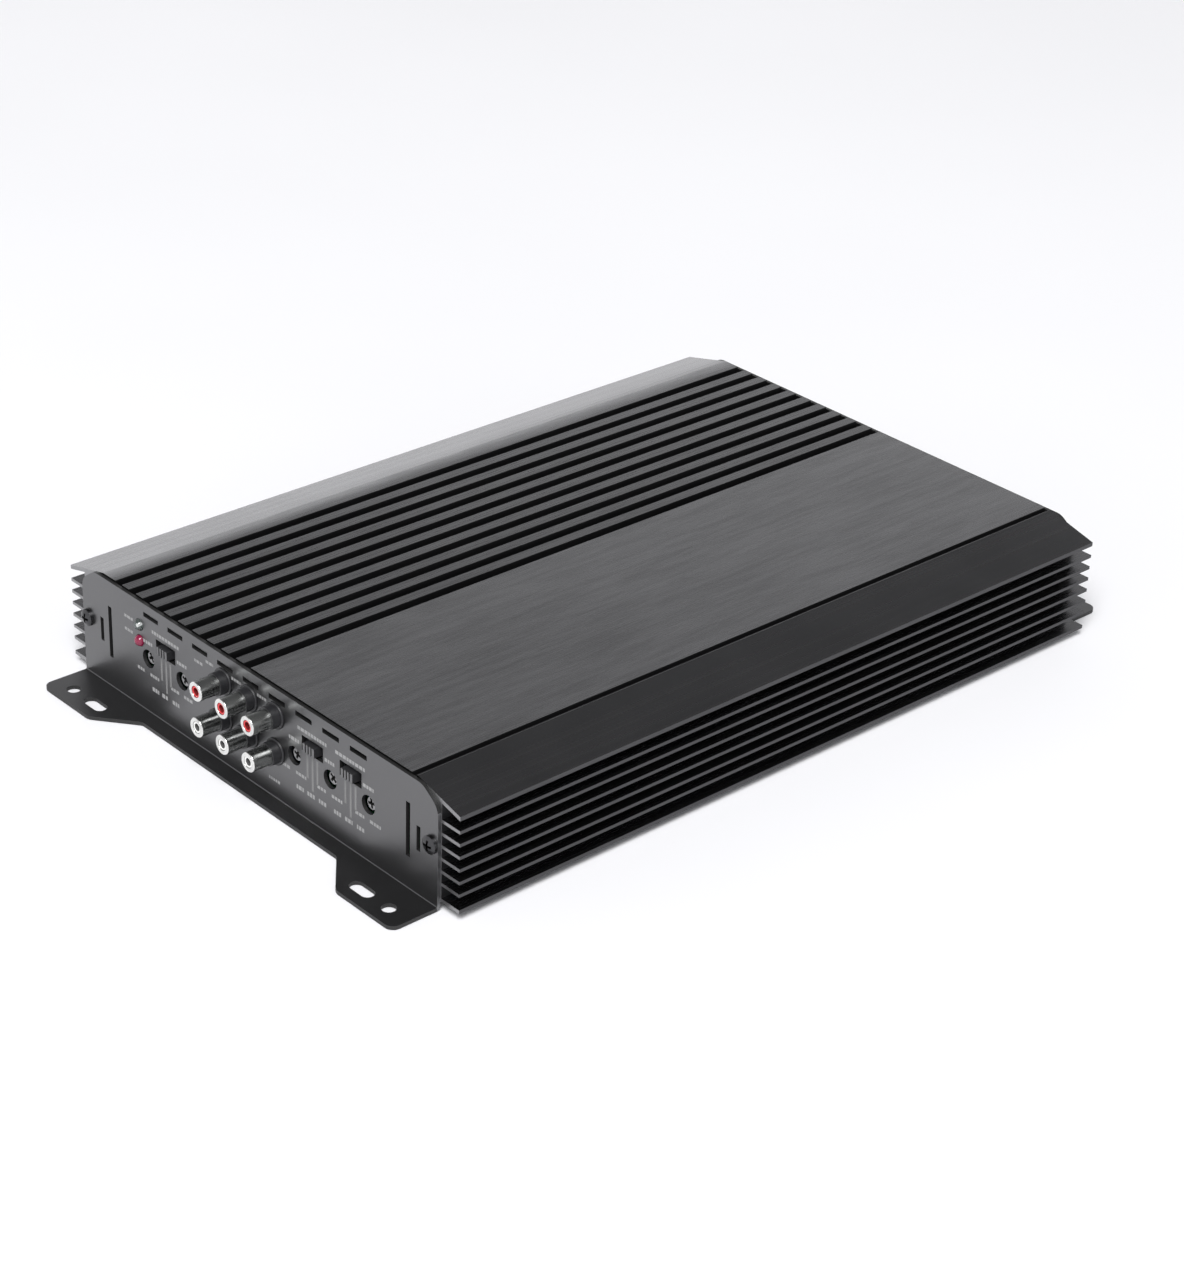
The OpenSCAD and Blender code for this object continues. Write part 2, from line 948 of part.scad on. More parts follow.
module power_terminal_screws() {
    color(metal)
        terminal_screws(
            power_x, power_count, power_pitch, power_clamp, power_entry, power_entry_z,
            power_screw_r, power_head_r, power_head_h);
}

module speaker_terminal_block() {
    color(black)
        terminal_block(
            speaker_x, speaker_count, speaker_pitch, speaker_block_h, speaker_clamp, speaker_entry_z,
            speaker_head_r);
}

module speaker_terminal_clamps() {
    color(brass)
        terminal_clamps(
            speaker_x, speaker_count, speaker_pitch, speaker_clamp, speaker_entry, speaker_entry_z,
            speaker_screw_r);
}

module speaker_terminal_screws() {
    color(metal)
        terminal_screws(
            speaker_x, speaker_count, speaker_pitch, speaker_clamp, speaker_entry, speaker_entry_z,
            speaker_screw_r, speaker_head_r, speaker_head_h);
}

function fuse_place(index) = fuse_x + (index - 0.5) * fuse_pitch;

module fuse_holder() {
    pocket_t = fuse_t + 2 * fuse_clearance;
    pocket_w = fuse_w + 2 * fuse_clearance;
    color(black)
        difference() {
            box(
                [fuse_x - fuse_holder_w / 2, block_back_y, board_top],
                [fuse_x + fuse_holder_w / 2, fuse_holder_front_y, fuse_holder_high]);
            for (index = [0, 1])
                translate([fuse_place(index), 0, fuse_z]) {
                    box(
                        [-pocket_t / 2, fuse_back_y - fuse_clearance, -pocket_w / 2],
                        [pocket_t / 2, fuse_holder_front_y + 1, pocket_w / 2]);
                    for (side = [-1, 1])
                        translate([0, 0, side * blade_offset])
                            box(
                                [-blade_slot_w / 2, fuse_back_y - blade_l - 2, -blade_w / 2 - 0.4],
                                [blade_slot_w / 2, fuse_back_y, blade_w / 2 + 0.4]);
                }
        }
}

module fuse_clips() {
    half = blade_t / 2 + clip_gap;
    color(brass)
        for (index = [0, 1])
            for (side = [-1, 1])
                translate([fuse_place(index), fuse_back_y - blade_l - 2, fuse_z + side * blade_offset])
                    difference() {
                        box(
                            [-half - clip_leaf_t, 0, -blade_w / 2],
                            [half + clip_leaf_t, blade_l, blade_w / 2]);
                        box([-half, 1, -blade_w], [half, blade_l + 1, blade_w]);
                    }
}

module fuse_body(index) {
    window = [1.2, 2, 2.4];
    color("#3f9b57")
        translate([fuse_place(index), fuse_back_y, fuse_z])
            difference() {
                along_y(0, fuse_l)
                    polygon(rounded(
                        [
                            [-fuse_t / 2, -fuse_w / 2], [fuse_t / 2, -fuse_w / 2],
                            [fuse_t / 2, fuse_w / 2], [-fuse_t / 2, fuse_w / 2]
                        ],
                        [for (corner = [0 : 3]) fuse_corner_r]));
                for (side = [-1, 1]) {
                    translate([side * fuse_t / 2, fuse_l / 2, 0])
                        cube([grip_t * 2, fuse_l / 2, fuse_w - 6], center = true);
                    translate([0, fuse_l, side * blade_offset])
                        cube(window, center = true);
                }
            }
}

module fuse_blades(index) {
    color(metal)
        for (side = [-1, 1])
            translate([fuse_place(index), fuse_back_y, fuse_z + side * blade_offset])
                box([-blade_t / 2, -blade_l, -blade_w / 2], [blade_t / 2, 0, blade_w / 2]);
}

// ---- Electronics on the main board ----

module ring(outer_r, inner_r, h) {
    difference() {
        cylinder(r = outer_r, h = h, center = true);
        cylinder(r = inner_r, h = h + 1, center = true);
    }
}

// A copper winding wraps a ring core, and leaves wedges of it bare between its sections.
module winding(outer_r, inner_r, h, wire, sections, bare_angle) {
    difference() {
        rotate_extrude()
            difference() {
                translate([inner_r - wire, -h / 2 - wire])
                    square([outer_r - inner_r + 2 * wire, h + 2 * wire]);
                translate([inner_r, -h / 2])
                    square([outer_r - inner_r, h]);
            }
        for (i = [0 : sections - 1])
            rotate(i * 360 / sections)
                linear_extrude(h * 3, center = true)
                    polygon([
                        [0, 0],
                        2 * outer_r * [cos(bare_angle / 2), -sin(bare_angle / 2)],
                        2 * outer_r * [cos(bare_angle / 2), sin(bare_angle / 2)]
                    ]);
    }
}

module transformer_cores() {
    color("#4d4a45")
        for (x = core_xs)
            translate([x, core_y, core_z])
                ring(core_r, core_bore_r, core_h);
}

module transformer_windings() {
    color("#b5622f")
        for (x = core_xs)
            translate([x, core_y, core_z])
                winding(core_r, core_bore_r, core_h, core_wire, 4, 24);
}

module choke_core() {
    color("#c9b42e")
        translate([choke_x, choke_y, choke_z])
            ring(choke_r, choke_bore_r, choke_h);
}

module choke_winding() {
    color("#b5622f")
        translate([choke_x, choke_y, choke_z])
            winding(choke_r, choke_bore_r, choke_h, choke_wire, 3, 40);
}

module in_row(row) {
    for (i = [0 : row[0] - 1])
        translate([row[1] + i * row[2], row[3], board_top])
            children();
}

// A can with the cross-shaped vent pressed into its top.
module capacitor(r, h) {
    vent_w = 0.6;
    difference() {
        cylinder(r = r, h = h);
        for (turn = [0, 90])
            rotate(turn)
                translate([-r * 0.6, -vent_w / 2, h - 0.4])
                    cube([r * 1.2, vent_w, 1]);
    }
}

module input_capacitors() {
    color("#2b3b5c")
        in_row(input_cap_row)
            capacitor(input_cap_r, cap_h);
}

module rail_capacitors() {
    color("#2b3b5c")
        in_row(rail_cap_row)
            capacitor(rail_cap_r, cap_h);
}

module signal_capacitors() {
    color("#24282c")
        for (row = signal_cap_rows)
            in_row(row)
                capacitor(signal_cap_r, signal_cap_h);
}

function transistor_y(i) = (i - (transistor_count - 1) / 2) * transistor_pitch;
function clamp_screw_y(i) = (i - (clamp_screw_count - 1) / 2) * transistor_pitch * 2;

module transistor_bodies() {
    color("#1d1d20")
        both_sides()
            for (i = [0 : transistor_count - 1])
                translate([thick_wall_x - pad_t - tab_t - case_t, transistor_y(i), case_z])
                    box([0, -case_w / 2, 0], [case_t, case_w / 2, case_h]);
}

// The lead leaves the foot of the tab, steps away from the wall and goes down to the board.
module transistor_lead() {
    half = lead_w / 2;
    step_z = -1.2;
    box([-lead_bend, -half, board_top - case_z], [-lead_bend + lead_t, half, step_z]);
    box([-lead_bend, -half, step_z], [tab_t, half, step_z / 2]);
    box([0, -half, step_z / 2], [tab_t, half, 0]);
}

module transistor_tabs() {
    color(metal)
        both_sides()
            for (i = [0 : transistor_count - 1])
                translate([thick_wall_x - pad_t - tab_t, transistor_y(i), case_z]) {
                    difference() {
                        box([0, -case_w / 2, 0], [tab_t, case_w / 2, tab_h]);
                        translate([-1, 0, tab_hole_z])
                            rotate([0, 90, 0])
                                cylinder(r = tab_hole_r, h = tab_t + 2);
                    }
                    for (lead = [-1, 0, 1])
                        translate([0, lead * lead_pitch, 0])
                            transistor_lead();
                }
}

module insulating_pads() {
    half = case_w / 2 + 1;
    color("#cfc6b2")
        both_sides()
            for (i = [0 : transistor_count - 1])
                translate([thick_wall_x - pad_t, transistor_y(i), case_z - 0.4])
                    box([0, -half, 0], [pad_t, half, pad_h]);
}

module clamp_bars() {
    bar_l = transistor_count * transistor_pitch;
    color("#8d8f93")
        both_sides()
            difference() {
                box([bar_x, -bar_l / 2, bar_z - bar_h / 2], [bar_x + bar_t, bar_l / 2, bar_z + bar_h / 2]);
                for (i = [0 : clamp_screw_count - 1])
                    translate([bar_x - 1, clamp_screw_y(i), bar_z])
                        rotate([0, 90, 0])
                            cylinder(r = clamp_screw_r + hole_gap, h = bar_t + 2);
            }
}

module clamp_bar_screws() {
    color(metal)
        both_sides()
            for (i = [0 : clamp_screw_count - 1])
                translate([bar_x, clamp_screw_y(i), bar_z])
                    rotate([0, -90, 0])
                        pan_screw(2.6, 1.8, clamp_screw_r, clamp_screw_l);
}

module driver_chips() {
    stand = 0.6;
    pin = [0.5, 0.7, 4];
    row_y = (chip_size.y + pin.y) / 2;
    color("#1d1d20")
        in_row(chip_row)
            difference() {
                translate([-chip_size.x / 2, -chip_size.y / 2, stand])
                    cube(chip_size);
                translate([-chip_size.x / 2, 0, stand + chip_size.z - 0.5])
                    cylinder(r = 1.2, h = 2);
            }
    color(metal)
        in_row(chip_row)
            for (side = [-1, 1])
                for (i = [0 : chip_pins - 1])
                    translate([(i - (chip_pins - 1) / 2) * chip_pin_pitch, side * row_y, pin.z / 2])
                        cube(pin, center = true);
}

module power_resistors() {
    color("#d8d4c8")
        in_row(resistor_row)
            translate([-resistor_size.x / 2, -resistor_size.y / 2, 0])
                cube(resistor_size);
}

heatsink_housing();
bottom_cover();
bottom_cover_screws();
front_end_plate();
front_plate_screws();
rear_end_plate();
rear_plate_screws();
main_board();
board_standoffs();
board_screws();
control_board();
board_header();
input_socket_block();
input_socket_shells();
input_insulators_red();
input_insulators_white();
input_contacts();
adjuster_bodies();
adjuster_shaft(0);  // adjuster_shaft_1
adjuster_shaft(1);  // adjuster_shaft_2
adjuster_shaft(2);  // adjuster_shaft_3
adjuster_shaft(3);  // adjuster_shaft_4
adjuster_shaft(4);  // adjuster_shaft_5
switch_housings();
switch_slider(0);  // switch_slider_1
switch_slider(1);  // switch_slider_2
switch_slider(2);  // switch_slider_3
power_led();
protect_led();
led_spacers();
power_terminal_block();
power_terminal_clamps();
power_terminal_screws();
speaker_terminal_block();
speaker_terminal_clamps();
speaker_terminal_screws();
fuse_holder();
fuse_clips();
fuse_body(0);  // fuse_1_body
fuse_blades(0);  // fuse_1_blades
fuse_body(1);  // fuse_2_body
fuse_blades(1);  // fuse_2_blades
transformer_cores();
transformer_windings();
choke_core();
choke_winding();
input_capacitors();
rail_capacitors();
signal_capacitors();
transistor_bodies();
transistor_tabs();
insulating_pads();
clamp_bars();
clamp_bar_screws();
driver_chips();
power_resistors();
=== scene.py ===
"""Looks for the car amplifier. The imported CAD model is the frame; everything is in metres."""
import json
import math
import random

import bmesh
import bpy
from mathutils import Matrix, Vector


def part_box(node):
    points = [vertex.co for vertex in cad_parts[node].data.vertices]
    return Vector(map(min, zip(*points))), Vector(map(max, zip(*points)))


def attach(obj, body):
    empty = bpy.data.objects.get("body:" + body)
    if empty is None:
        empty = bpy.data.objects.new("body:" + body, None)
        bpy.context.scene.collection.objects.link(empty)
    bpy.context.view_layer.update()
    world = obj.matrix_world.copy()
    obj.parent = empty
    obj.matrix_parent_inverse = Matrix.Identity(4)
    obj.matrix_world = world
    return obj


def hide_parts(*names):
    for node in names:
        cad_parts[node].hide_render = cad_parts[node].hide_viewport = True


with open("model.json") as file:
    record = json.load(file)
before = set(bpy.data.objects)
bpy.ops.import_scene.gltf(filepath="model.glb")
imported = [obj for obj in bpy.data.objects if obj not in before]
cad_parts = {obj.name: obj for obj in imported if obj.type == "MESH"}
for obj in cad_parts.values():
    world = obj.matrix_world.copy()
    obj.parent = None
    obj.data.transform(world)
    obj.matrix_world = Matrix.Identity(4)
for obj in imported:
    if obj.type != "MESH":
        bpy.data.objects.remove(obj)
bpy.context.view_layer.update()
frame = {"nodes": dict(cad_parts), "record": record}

MM = 0.001
nodes = frame["nodes"]
HOUSING_LOW, HOUSING_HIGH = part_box("heatsink_housing")
SHEET_T = 1.6 * MM
PLATE_Y = HOUSING_LOW.y - SHEET_T
SHOULDER_X = 101.6 * MM
SLOPE_DROP = 6.5 * MM
GROOVE_DEPTH = 5 * MM
WIDEST_RIDGE = 20 * MM
# The extrusion's cut ends above this height are painted near black: painted shade for the shadowed
# gap over the end plates.
PAINTED_SHADE_STRIP_Z = 50.2 * MM
FACE_GAP = 0.1 * MM
SLOT_OF = {part["node"]: part["material_slot"] for part in frame["record"]["subparts"]}


# ---------------------------------------------------------------- shader building

class Shader:
    """A Principled material, with short calls that add the nodes that feed it."""

    def __init__(self, name, color, roughness, metallic=0.0, **sockets):
        self.material = bpy.data.materials.new(name)
        self.material.use_nodes = True
        self.tree = self.material.node_tree
        self.bsdf = self.tree.nodes["Principled BSDF"]
        self.color = color
        self.set("Base Color", (*color, 1.0))
        self.set("Roughness", roughness)
        self.set("Metallic", metallic)
        for socket, value in sockets.items():
            self.set(socket.replace("_", " "), value)

    def set(self, socket, value):
        self.bsdf.inputs[socket].default_value = value

    def link(self, source, socket):
        self.tree.links.new(source, self.bsdf.inputs[socket])

    def add(self, kind, **values):
        node = self.tree.nodes.new(kind)
        for key, value in values.items():
            setattr(node, key, value)
        return node

    def feed(self, node, **inputs):
        for key, value in inputs.items():
            socket = node.inputs[key.replace("_", " ")]
            if isinstance(value, bpy.types.NodeSocket):
                self.tree.links.new(value, socket)
            else:
                socket.default_value = value
        return node

    def coords(self, stretch=(1, 1, 1)):
        place = self.add("ShaderNodeTexCoord").outputs["Object"]
        mapping = self.feed(self.add("ShaderNodeMapping"), Vector=place, Scale=stretch)
        return mapping.outputs["Vector"]

    def noise(self, scale, stretch=(1, 1, 1), detail=3.0, roughness=0.5):
        node = self.feed(
            self.add("ShaderNodeTexNoise"),
            Vector=self.coords(stretch), Scale=scale, Detail=detail, Roughness=roughness)
        return node.outputs["Fac"]

    def cells(self, scale, stretch=(1, 1, 1)):
        node = self.feed(self.add("ShaderNodeTexVoronoi"), Vector=self.coords(stretch), Scale=scale)
        return node.outputs["Distance"]

    def height(self):
        """The Z coordinate in the object's own frame, in metres."""
        node = self.feed(self.add("ShaderNodeSeparateXYZ"), Vector=self.coords())
        return node.outputs["Z"]

    def remap(self, value, low, high, out_low, out_high):
        node = self.add("ShaderNodeMapRange")
        self.feed(node, Value=value)
        for index, number in enumerate((low, high, out_low, out_high), 1):
            node.inputs[index].default_value = number
        return node.outputs["Result"]

    def blend(self, factor, first, second):
        node = self.add("ShaderNodeMix", data_type="RGBA")
        self.tree.links.new(factor, node.inputs[0])
        for socket, value in ((node.inputs[6], first), (node.inputs[7], second)):
            if isinstance(value, bpy.types.NodeSocket):
                self.tree.links.new(value, socket)
            else:
                socket.default_value = (*value, 1.0)
        return node.outputs[2]

    def vary_color(self, factor, second, first=None):
        self.link(self.blend(factor, first or self.color, second), "Base Color")

    def bump(self, height, strength, distance):
        node = self.feed(
            self.add("ShaderNodeBump"), Strength=strength, Distance=distance, Height=height)
        self.link(node.outputs["Normal"], "Normal")


def shade(color, factor):
    return tuple(channel * factor for channel in color)


# ---------------------------------------------------------------- materials

def extruded_metal(name, color, roughness, lines):
    """Dark anodised aluminium with the fine die lines of an extrusion along Y."""
    s = Shader(name, color, roughness, metallic=1.0)
    die = s.noise(1.0, (lines, 1.5, lines), detail=2)
    cloud = s.noise(30, detail=2)
    s.vary_color(s.remap(cloud, 0.35, 0.7, 0.0, 1.0), shade(color, 0.88))
    s.link(s.remap(die, 0.3, 0.7, roughness - 0.02, roughness + 0.03), "Roughness")
    s.bump(die, 0.04, 0.005 * MM)
    return s.material


def brushed_metal(name, color, roughness):
    """Anodised aluminium with a soft brushed grain: short faint streaks along Y."""
    s = Shader(name, color, roughness, metallic=1.0)
    grain = s.noise(1.0, (3200, 60, 3200), detail=6, roughness=0.65)
    streak = s.noise(1.0, (330, 26, 330), detail=5, roughness=0.62)
    patch = s.noise(1.0, (45, 12, 45), detail=3)
    streaked = s.blend(s.remap(streak, 0.40, 0.60, 0.0, 1.0), color, shade(color, 0.80))
    s.vary_color(s.remap(patch, 0.42, 0.75, 0.0, 0.35), shade(color, 1.35), first=streaked)
    s.link(s.remap(grain, 0.3, 0.7, roughness - 0.07, roughness + 0.09), "Roughness")
    s.bump(grain, 0.25, 0.03 * MM)
    return s.material


def powder_coat(name, color, roughness, metallic=1.0):
    """Satin black coat over folded sheet, with a fine orange-peel texture."""
    s = Shader(name, color, roughness, metallic=metallic)
    peel = s.noise(1400, detail=2)
    cloud = s.noise(14, detail=2)
    s.vary_color(s.remap(cloud, 0.35, 0.7, 0.0, 1.0), shade(color, 0.92))
    s.link(s.remap(peel, 0.3, 0.7, roughness - 0.015, roughness + 0.015), "Roughness")
    s.bump(peel, 0.08, 0.03 * MM)
    return s.material


def sawn_end_with_painted_shade(name, color, dark, height):
    """The extrusion's cut ends: bright bare metal on the fins and lips, painted near black as shade
    in the strip over the plates.
    """
    s = Shader(name, color, 0.35, metallic=1.0)
    cuts = s.noise(1.0, (9000, 300, 300), detail=2)
    # Painted shade: the end faces above the given height turn near black.
    strip = s.remap(s.height(), height, height + 0.1 * MM, 0.0, 1.0)
    s.vary_color(strip, dark)
    s.link(s.remap(cuts, 0.3, 0.7, 0.3, 0.42), "Roughness")
    s.bump(cuts, 0.15, 0.02 * MM)
    return s.material


def moulded_plastic(name, color, roughness, grain=900, **sockets):
    """Moulded plastic: a faint cloud in the colour and a fine mould texture."""
    s = Shader(name, color, roughness, **sockets)
    texture = s.noise(grain, detail=3)
    cloud = s.noise(120, detail=2)
    s.vary_color(s.remap(cloud, 0.35, 0.7, 0.0, 1.0), shade(color, 0.86))
    s.link(s.remap(texture, 0.3, 0.7, roughness - 0.05, roughness + 0.07), "Roughness")
    s.bump(texture, 0.18, 0.04 * MM)
    return s.material


def plated_metal(name, color, roughness):
    """Plated or plain metal with light handling smudges."""
    s = Shader(name, color, roughness, metallic=1.0)
    smudge = s.noise(220, detail=4)
    s.vary_color(s.remap(smudge, 0.4, 0.7, 0.0, 1.0), shade(color, 0.82))
    s.link(s.remap(smudge, 0.3, 0.7, roughness, roughness + 0.12), "Roughness")
    s.bump(s.noise(1800, detail=2), 0.06, 0.03 * MM)
    return s.material


def circuit_board():
    """Green solder mask over a pattern of raised copper tracks."""
    green = (0.012, 0.085, 0.038)
    s = Shader("circuit_board", green, 0.34)
    tracks = s.remap(s.cells(160, (1, 0.35, 1)), 0.25, 0.32, 0.0, 1.0)
    s.vary_color(tracks, (0.03, 0.17, 0.07))
    s.bump(tracks, 0.4, 0.04 * MM)
    return s.material


def lamp_lens(name, color, roughness, glow=(0, 0, 0), strength=0.0, **sockets):
    """The moulded body of a lamp, with a slight cloudiness."""
    s = Shader(name, color, roughness, **sockets)
    s.set("Emission Color", (*glow, 1.0))
    s.set("Emission Strength", strength)
    cloud = s.noise(500)
    s.vary_color(s.remap(cloud, 0.35, 0.65, 0.0, 1.0), shade(color, 0.8))
    s.link(s.remap(cloud, 0.3, 0.7, roughness, roughness + 0.06), "Roughness")
    return s.material


MATERIALS = {
    "anodised_black": extruded_metal("anodised_black", (0.155, 0.155, 0.16), 0.27, 900),
    "black_sheet": powder_coat("black_sheet", (0.165, 0.165, 0.168), 0.34),
    "black_cover": powder_coat("black_cover", (0.07, 0.07, 0.075), 0.42, metallic=0.3),
    "black_screw": plated_metal("black_screw", (0.075, 0.075, 0.078), 0.24),
    "zinc_screw": plated_metal("zinc_screw", (0.62, 0.62, 0.60), 0.28),
    "circuit_board": circuit_board(),
    "brass": plated_metal("brass", (0.72, 0.50, 0.20), 0.24),
    "nickel": plated_metal("nickel", (0.80, 0.80, 0.78), 0.16),
    "black_plastic": moulded_plastic("black_plastic", (0.018, 0.018, 0.020), 0.38),
    "red_plastic": moulded_plastic("red_plastic", (0.62, 0.018, 0.022), 0.30, Coat_Weight=0.2),
    "white_plastic": moulded_plastic("white_plastic", (0.86, 0.86, 0.84), 0.32, Coat_Weight=0.2),
    "blue_plastic": moulded_plastic("blue_plastic", (0.03, 0.09, 0.24), 0.4),
    "grey_plastic": moulded_plastic("grey_plastic", (0.26, 0.26, 0.265), 0.4),
    "slider_plastic": moulded_plastic("slider_plastic", (0.022, 0.022, 0.024), 0.4),
    "clear_lens": lamp_lens("clear_lens", (0.10, 0.12, 0.115), 0.08, Coat_Weight=0.5, Alpha=0.6),
    "red_lens": lamp_lens("red_lens", (0.21, 0.010, 0.045), 0.2, Coat_Weight=0.2),
    "green_fuse": moulded_plastic("green_fuse", (0.03, 0.32, 0.09), 0.22, Coat_Weight=0.4),
    "fuse_metal": plated_metal("fuse_metal", (0.70, 0.70, 0.68), 0.28),
    "ferrite": moulded_plastic("ferrite", (0.055, 0.052, 0.05), 0.55),
    "iron_powder": moulded_plastic("iron_powder", (0.62, 0.50, 0.05), 0.45),
    "copper_wire": plated_metal("copper_wire", (0.62, 0.22, 0.07), 0.30),
    "capacitor_sleeve": moulded_plastic("capacitor_sleeve", (0.012, 0.020, 0.060), 0.25),
    "chip_plastic": moulded_plastic("chip_plastic", (0.016, 0.016, 0.018), 0.5),
    "tab_metal": plated_metal("tab_metal", (0.62, 0.63, 0.64), 0.32),
    "pad": moulded_plastic("pad", (0.55, 0.51, 0.44), 0.7),
    "clamp_steel": plated_metal("clamp_steel", (0.45, 0.45, 0.46), 0.35),
    "resistor_ceramic": moulded_plastic("resistor_ceramic", (0.74, 0.71, 0.64), 0.65),
}
BRUSHED = brushed_metal("brushed_panel", (0.225, 0.225, 0.23), 0.27)
RIDGE = brushed_metal("brushed_ridge", (0.16, 0.16, 0.164), 0.29)
# Painted shade: a darker copy of the extruded black for the groove faces.
GROOVE = extruded_metal("shade_painted_groove", (0.045, 0.045, 0.047), 0.5, 900)
SLOPE = extruded_metal("slope_black", (0.185, 0.185, 0.19), 0.26, 300)
# Painted shade: a darker copy of the extruded black for the fin tips, against the bright horizon
# they reflect.
PAINTED_SHADE_FIN_TIP = extruded_metal("shade_painted_fin_tip", (0.085, 0.085, 0.088), 0.36, 900)
SAWN_END_WITH_PAINTED_SHADE = sawn_end_with_painted_shade("sawn_end_with_painted_shade", (0.30, 0.30, 0.305), (0.008, 0.008, 0.008), PAINTED_SHADE_STRIP_Z)
# Painted shade: near black for the plate's cut edges and the insides of its holes.
PAINTED_SHADE_CUT_EDGE = powder_coat("shade_painted_cut_edge", (0.012, 0.012, 0.012), 0.5, metallic=0.0)
# Painted highlight: a lighter copy of the sheet's coat for its upright side edges.
PAINTED_HIGHLIGHT_SIDE_EDGE = powder_coat("highlight_painted_side_edge", (0.24, 0.24, 0.245), 0.35)
INK = moulded_plastic("printed_ink", (0.30, 0.30, 0.30), 0.6)
FAINT_INK = moulded_plastic("faint_ink", (0.19, 0.19, 0.19), 0.6)
# Painted shade: a darker copy of the nickel for the socket barrels, for the dark surroundings they
# reflect.
PAINTED_SHADE_BARREL = plated_metal("shade_painted_socket_barrel", (0.40, 0.41, 0.40), 0.20)
# Painted shade: darker copies of the red and white plastic for the insides of the socket bores.
PAINTED_SHADE_RED_BORE = moulded_plastic("shade_painted_red_bore", (0.16, 0.004, 0.005), 0.5)
PAINTED_SHADE_GREY_BORE = moulded_plastic("shade_painted_grey_bore", (0.10, 0.10, 0.10), 0.5)
# Painted shade: near black for deep holes and slots.
PAINTED_SHADE_DEEP_BORE = moulded_plastic("shade_painted_deep_bore", (0.012, 0.012, 0.012), 0.7)
# Painted light: a paler copy of the slider's black for the knob's lit face.
PAINTED_LIT_KNOB_FACE = moulded_plastic("light_painted_knob_face", (0.11, 0.11, 0.113), 0.4)


# ---------------------------------------------------------------- CAD nodes

def finish_edges(name, width, angle=35, material=-1, segments=2):
    """Rounds a CAD node's sharp edges a little, as a real pressed, cut or moulded edge is."""
    node = nodes[name]
    weld = node.modifiers.new("weld", "WELD")
    weld.merge_threshold = 0.002 * MM
    bevel = node.modifiers.new("edge", "BEVEL")
    bevel.width = width
    bevel.segments = segments
    bevel.limit_method = "ANGLE"
    bevel.angle_limit = math.radians(angle)
    bevel.harden_normals = True
    bevel.material = material
    weighted = node.modifiers.new("normals", "WEIGHTED_NORMAL")
    weighted.weight = 100
    weighted.keep_sharp = False


def add_materials(name, *materials):
    for material in materials:
        nodes[name].data.materials.append(material)


def paint_housing():
    """Brushed level faces, grooves painted dark as shade, smooth slopes and die-lined sides on the
    one extrusion; fin tips painted darker as shade.
    """
    brushed, groove, slope, sawn, shade_painted_fin_tip, ridge = 1, 2, 3, 4, 5, 6
    add_materials("heatsink_housing", BRUSHED, GROOVE, SLOPE, SAWN_END_WITH_PAINTED_SHADE, PAINTED_SHADE_FIN_TIP, RIDGE)
    top = HOUSING_HIGH.z
    mesh = nodes["heatsink_housing"].data
    for face in mesh.polygons:
        centre, normal = face.center, face.normal
        if normal.z > 0.99 and centre.z > top - FACE_GAP:
            xs = [mesh.vertices[corner].co.x for corner in face.vertices]
            is_ridge = centre.x < 0 and max(xs) - min(xs) < WIDEST_RIDGE
            face.material_index = ridge if is_ridge else brushed
        elif abs(centre.x) > SHOULDER_X and normal.z > 0.9 and centre.z > top - SLOPE_DROP:
            face.material_index = slope
        elif abs(centre.x) < SHOULDER_X and top - GROOVE_DEPTH < centre.z and abs(normal.y) < 0.5:
            # painted shade on the groove faces
            face.material_index = groove
        elif abs(normal.y) > 0.9:
            face.material_index = sawn
        elif abs(normal.x) > 0.9:
            # painted shade on the fin tips and the other faces that face along X
            face.material_index = shade_painted_fin_tip


def paint_plate(name):
    """The sheet's cut edges are painted near black as shade, but for the upright sides, which are
    painted lighter as a highlight where they catch the light.
    """
    shade_painted_cut_edge, highlight_painted_side_edge = 1, 2
    foot_bend_z = 3 * MM
    add_materials(name, PAINTED_SHADE_CUT_EDGE, PAINTED_HIGHLIGHT_SIDE_EDGE)
    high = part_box(name)[1]
    for face in nodes[name].data.polygons:
        centre, normal = face.center, face.normal
        on_side = abs(normal.x) > 0.9 and abs(centre.x) > high.x - 2 * FACE_GAP
        in_wall = abs(centre.y) < abs(PLATE_Y) + FACE_GAP
        wall_edge = in_wall and abs(normal.y) < 0.5 and centre.z > foot_bend_z
        foot_edge = abs(normal.z) < 0.5 and not in_wall
        if on_side and in_wall:
            # painted highlight on the upright sides
            face.material_index = highlight_painted_side_edge
        elif wall_edge or foot_edge:
            # painted shade on the cut edges
            face.material_index = shade_painted_cut_edge


def paint_knob(name):
    """The knob's face is painted paler than its sides: painted light on the face, painted shade on
    the sides.
    """
    add_materials(name, PAINTED_LIT_KNOB_FACE)
    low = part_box(name)[0]
    for face in nodes[name].data.polygons:
        if face.normal.y < -0.9 and face.center.y < low.y + FACE_GAP:
            face.material_index = 1


def paint_shaft(name):
    """The bottom and walls of the driver slots are painted near black as shade."""
    add_materials(name, PAINTED_SHADE_DEEP_BORE)
    low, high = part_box(name)
    middle = (low + high) / 2
    slot_reach = 2.3 * MM
    for face in nodes[name].data.polygons:
        place = face.center
        radius = math.hypot(place.x - middle.x, place.z - middle.z)
        if radius < slot_reach and low.y + FACE_GAP / 2 < place.y < middle.y:
            face.material_index = 1


def paint_capacitors(name):
    """The can's bare aluminium top shows inside the rolled end of the sleeve."""
    sleeve_lip = 0.6 * MM
    add_materials(name, MATERIALS["tab_metal"])
    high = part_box(name)[1]
    for face in nodes[name].data.polygons:
        if face.normal.z > 0.9 and face.center.z > high.z - sleeve_lip:
            face.material_index = 1


for name, node in nodes.items():
    node.data.materials.clear()
    node.data.materials.append(MATERIALS[SLOT_OF[name]])

